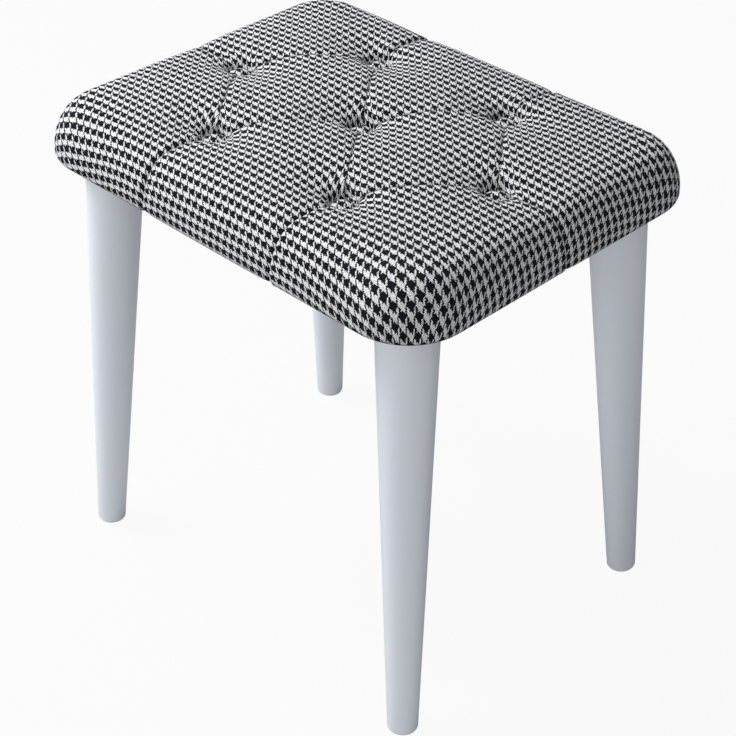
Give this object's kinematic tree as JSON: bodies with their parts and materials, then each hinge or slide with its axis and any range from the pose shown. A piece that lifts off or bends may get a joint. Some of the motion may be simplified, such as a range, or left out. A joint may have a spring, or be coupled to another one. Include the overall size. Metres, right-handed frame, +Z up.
{
  "type": "pouf",
  "caption": "Padded rectangular stool with a button-tufted seat in woven houndstooth check, on splayed, tapered white legs",
  "frame": {"origin": "on the floor, under the middle of the seat", "axes": "X along the seat's length, Y from the front of the seat to its back, Z up"},
  "size_m": [0.45, 0.35, 0.4579],
  "materials": {
    "check_cloth": "black and off-white houndstooth, woven",
    "white_lacquer": "white satin lacquer on turned wood",
    "plywood": "raw birch plywood",
    "foam": "open-cell cushion foam",
    "fibre_wadding": "bonded fibre",
    "waxed_twine": "waxed tufting twine",
    "black_nonwoven": "spun-bonded black cloth",
    "bright_steel": "bright wire",
    "zinc_steel": "zinc plated"
  },
  "bodies": {
    "root": {"seat_board": "plywood", "foam_pad": "foam", "wadding": "fibre_wadding", "seat_cover": "check_cloth", "tuft_button_1": "check_cloth", "tuft_button_2": "check_cloth", "tuft_button_3": "check_cloth", "tuft_button_4": "check_cloth", "tuft_button_5": "check_cloth", "tuft_button_6": "check_cloth", "tuft_button_7": "check_cloth", "button_backs": "bright_steel", "tuft_twines": "waxed_twine", "twine_staples": "bright_steel", "cover_staples": "bright_steel", "dust_cover": "black_nonwoven", "dust_cover_staples": "bright_steel", "leg_plate_front_left": "zinc_steel", "leg_plate_front_right": "zinc_steel", "leg_plate_back_right": "zinc_steel", "leg_plate_back_left": "zinc_steel", "plate_nuts": "zinc_steel", "plate_screws": "zinc_steel", "leg_bolts": "zinc_steel", "leg_front_left": "white_lacquer", "leg_front_right": "white_lacquer", "leg_back_right": "white_lacquer", "leg_back_left": "white_lacquer"}
  },
  "joints": []
}
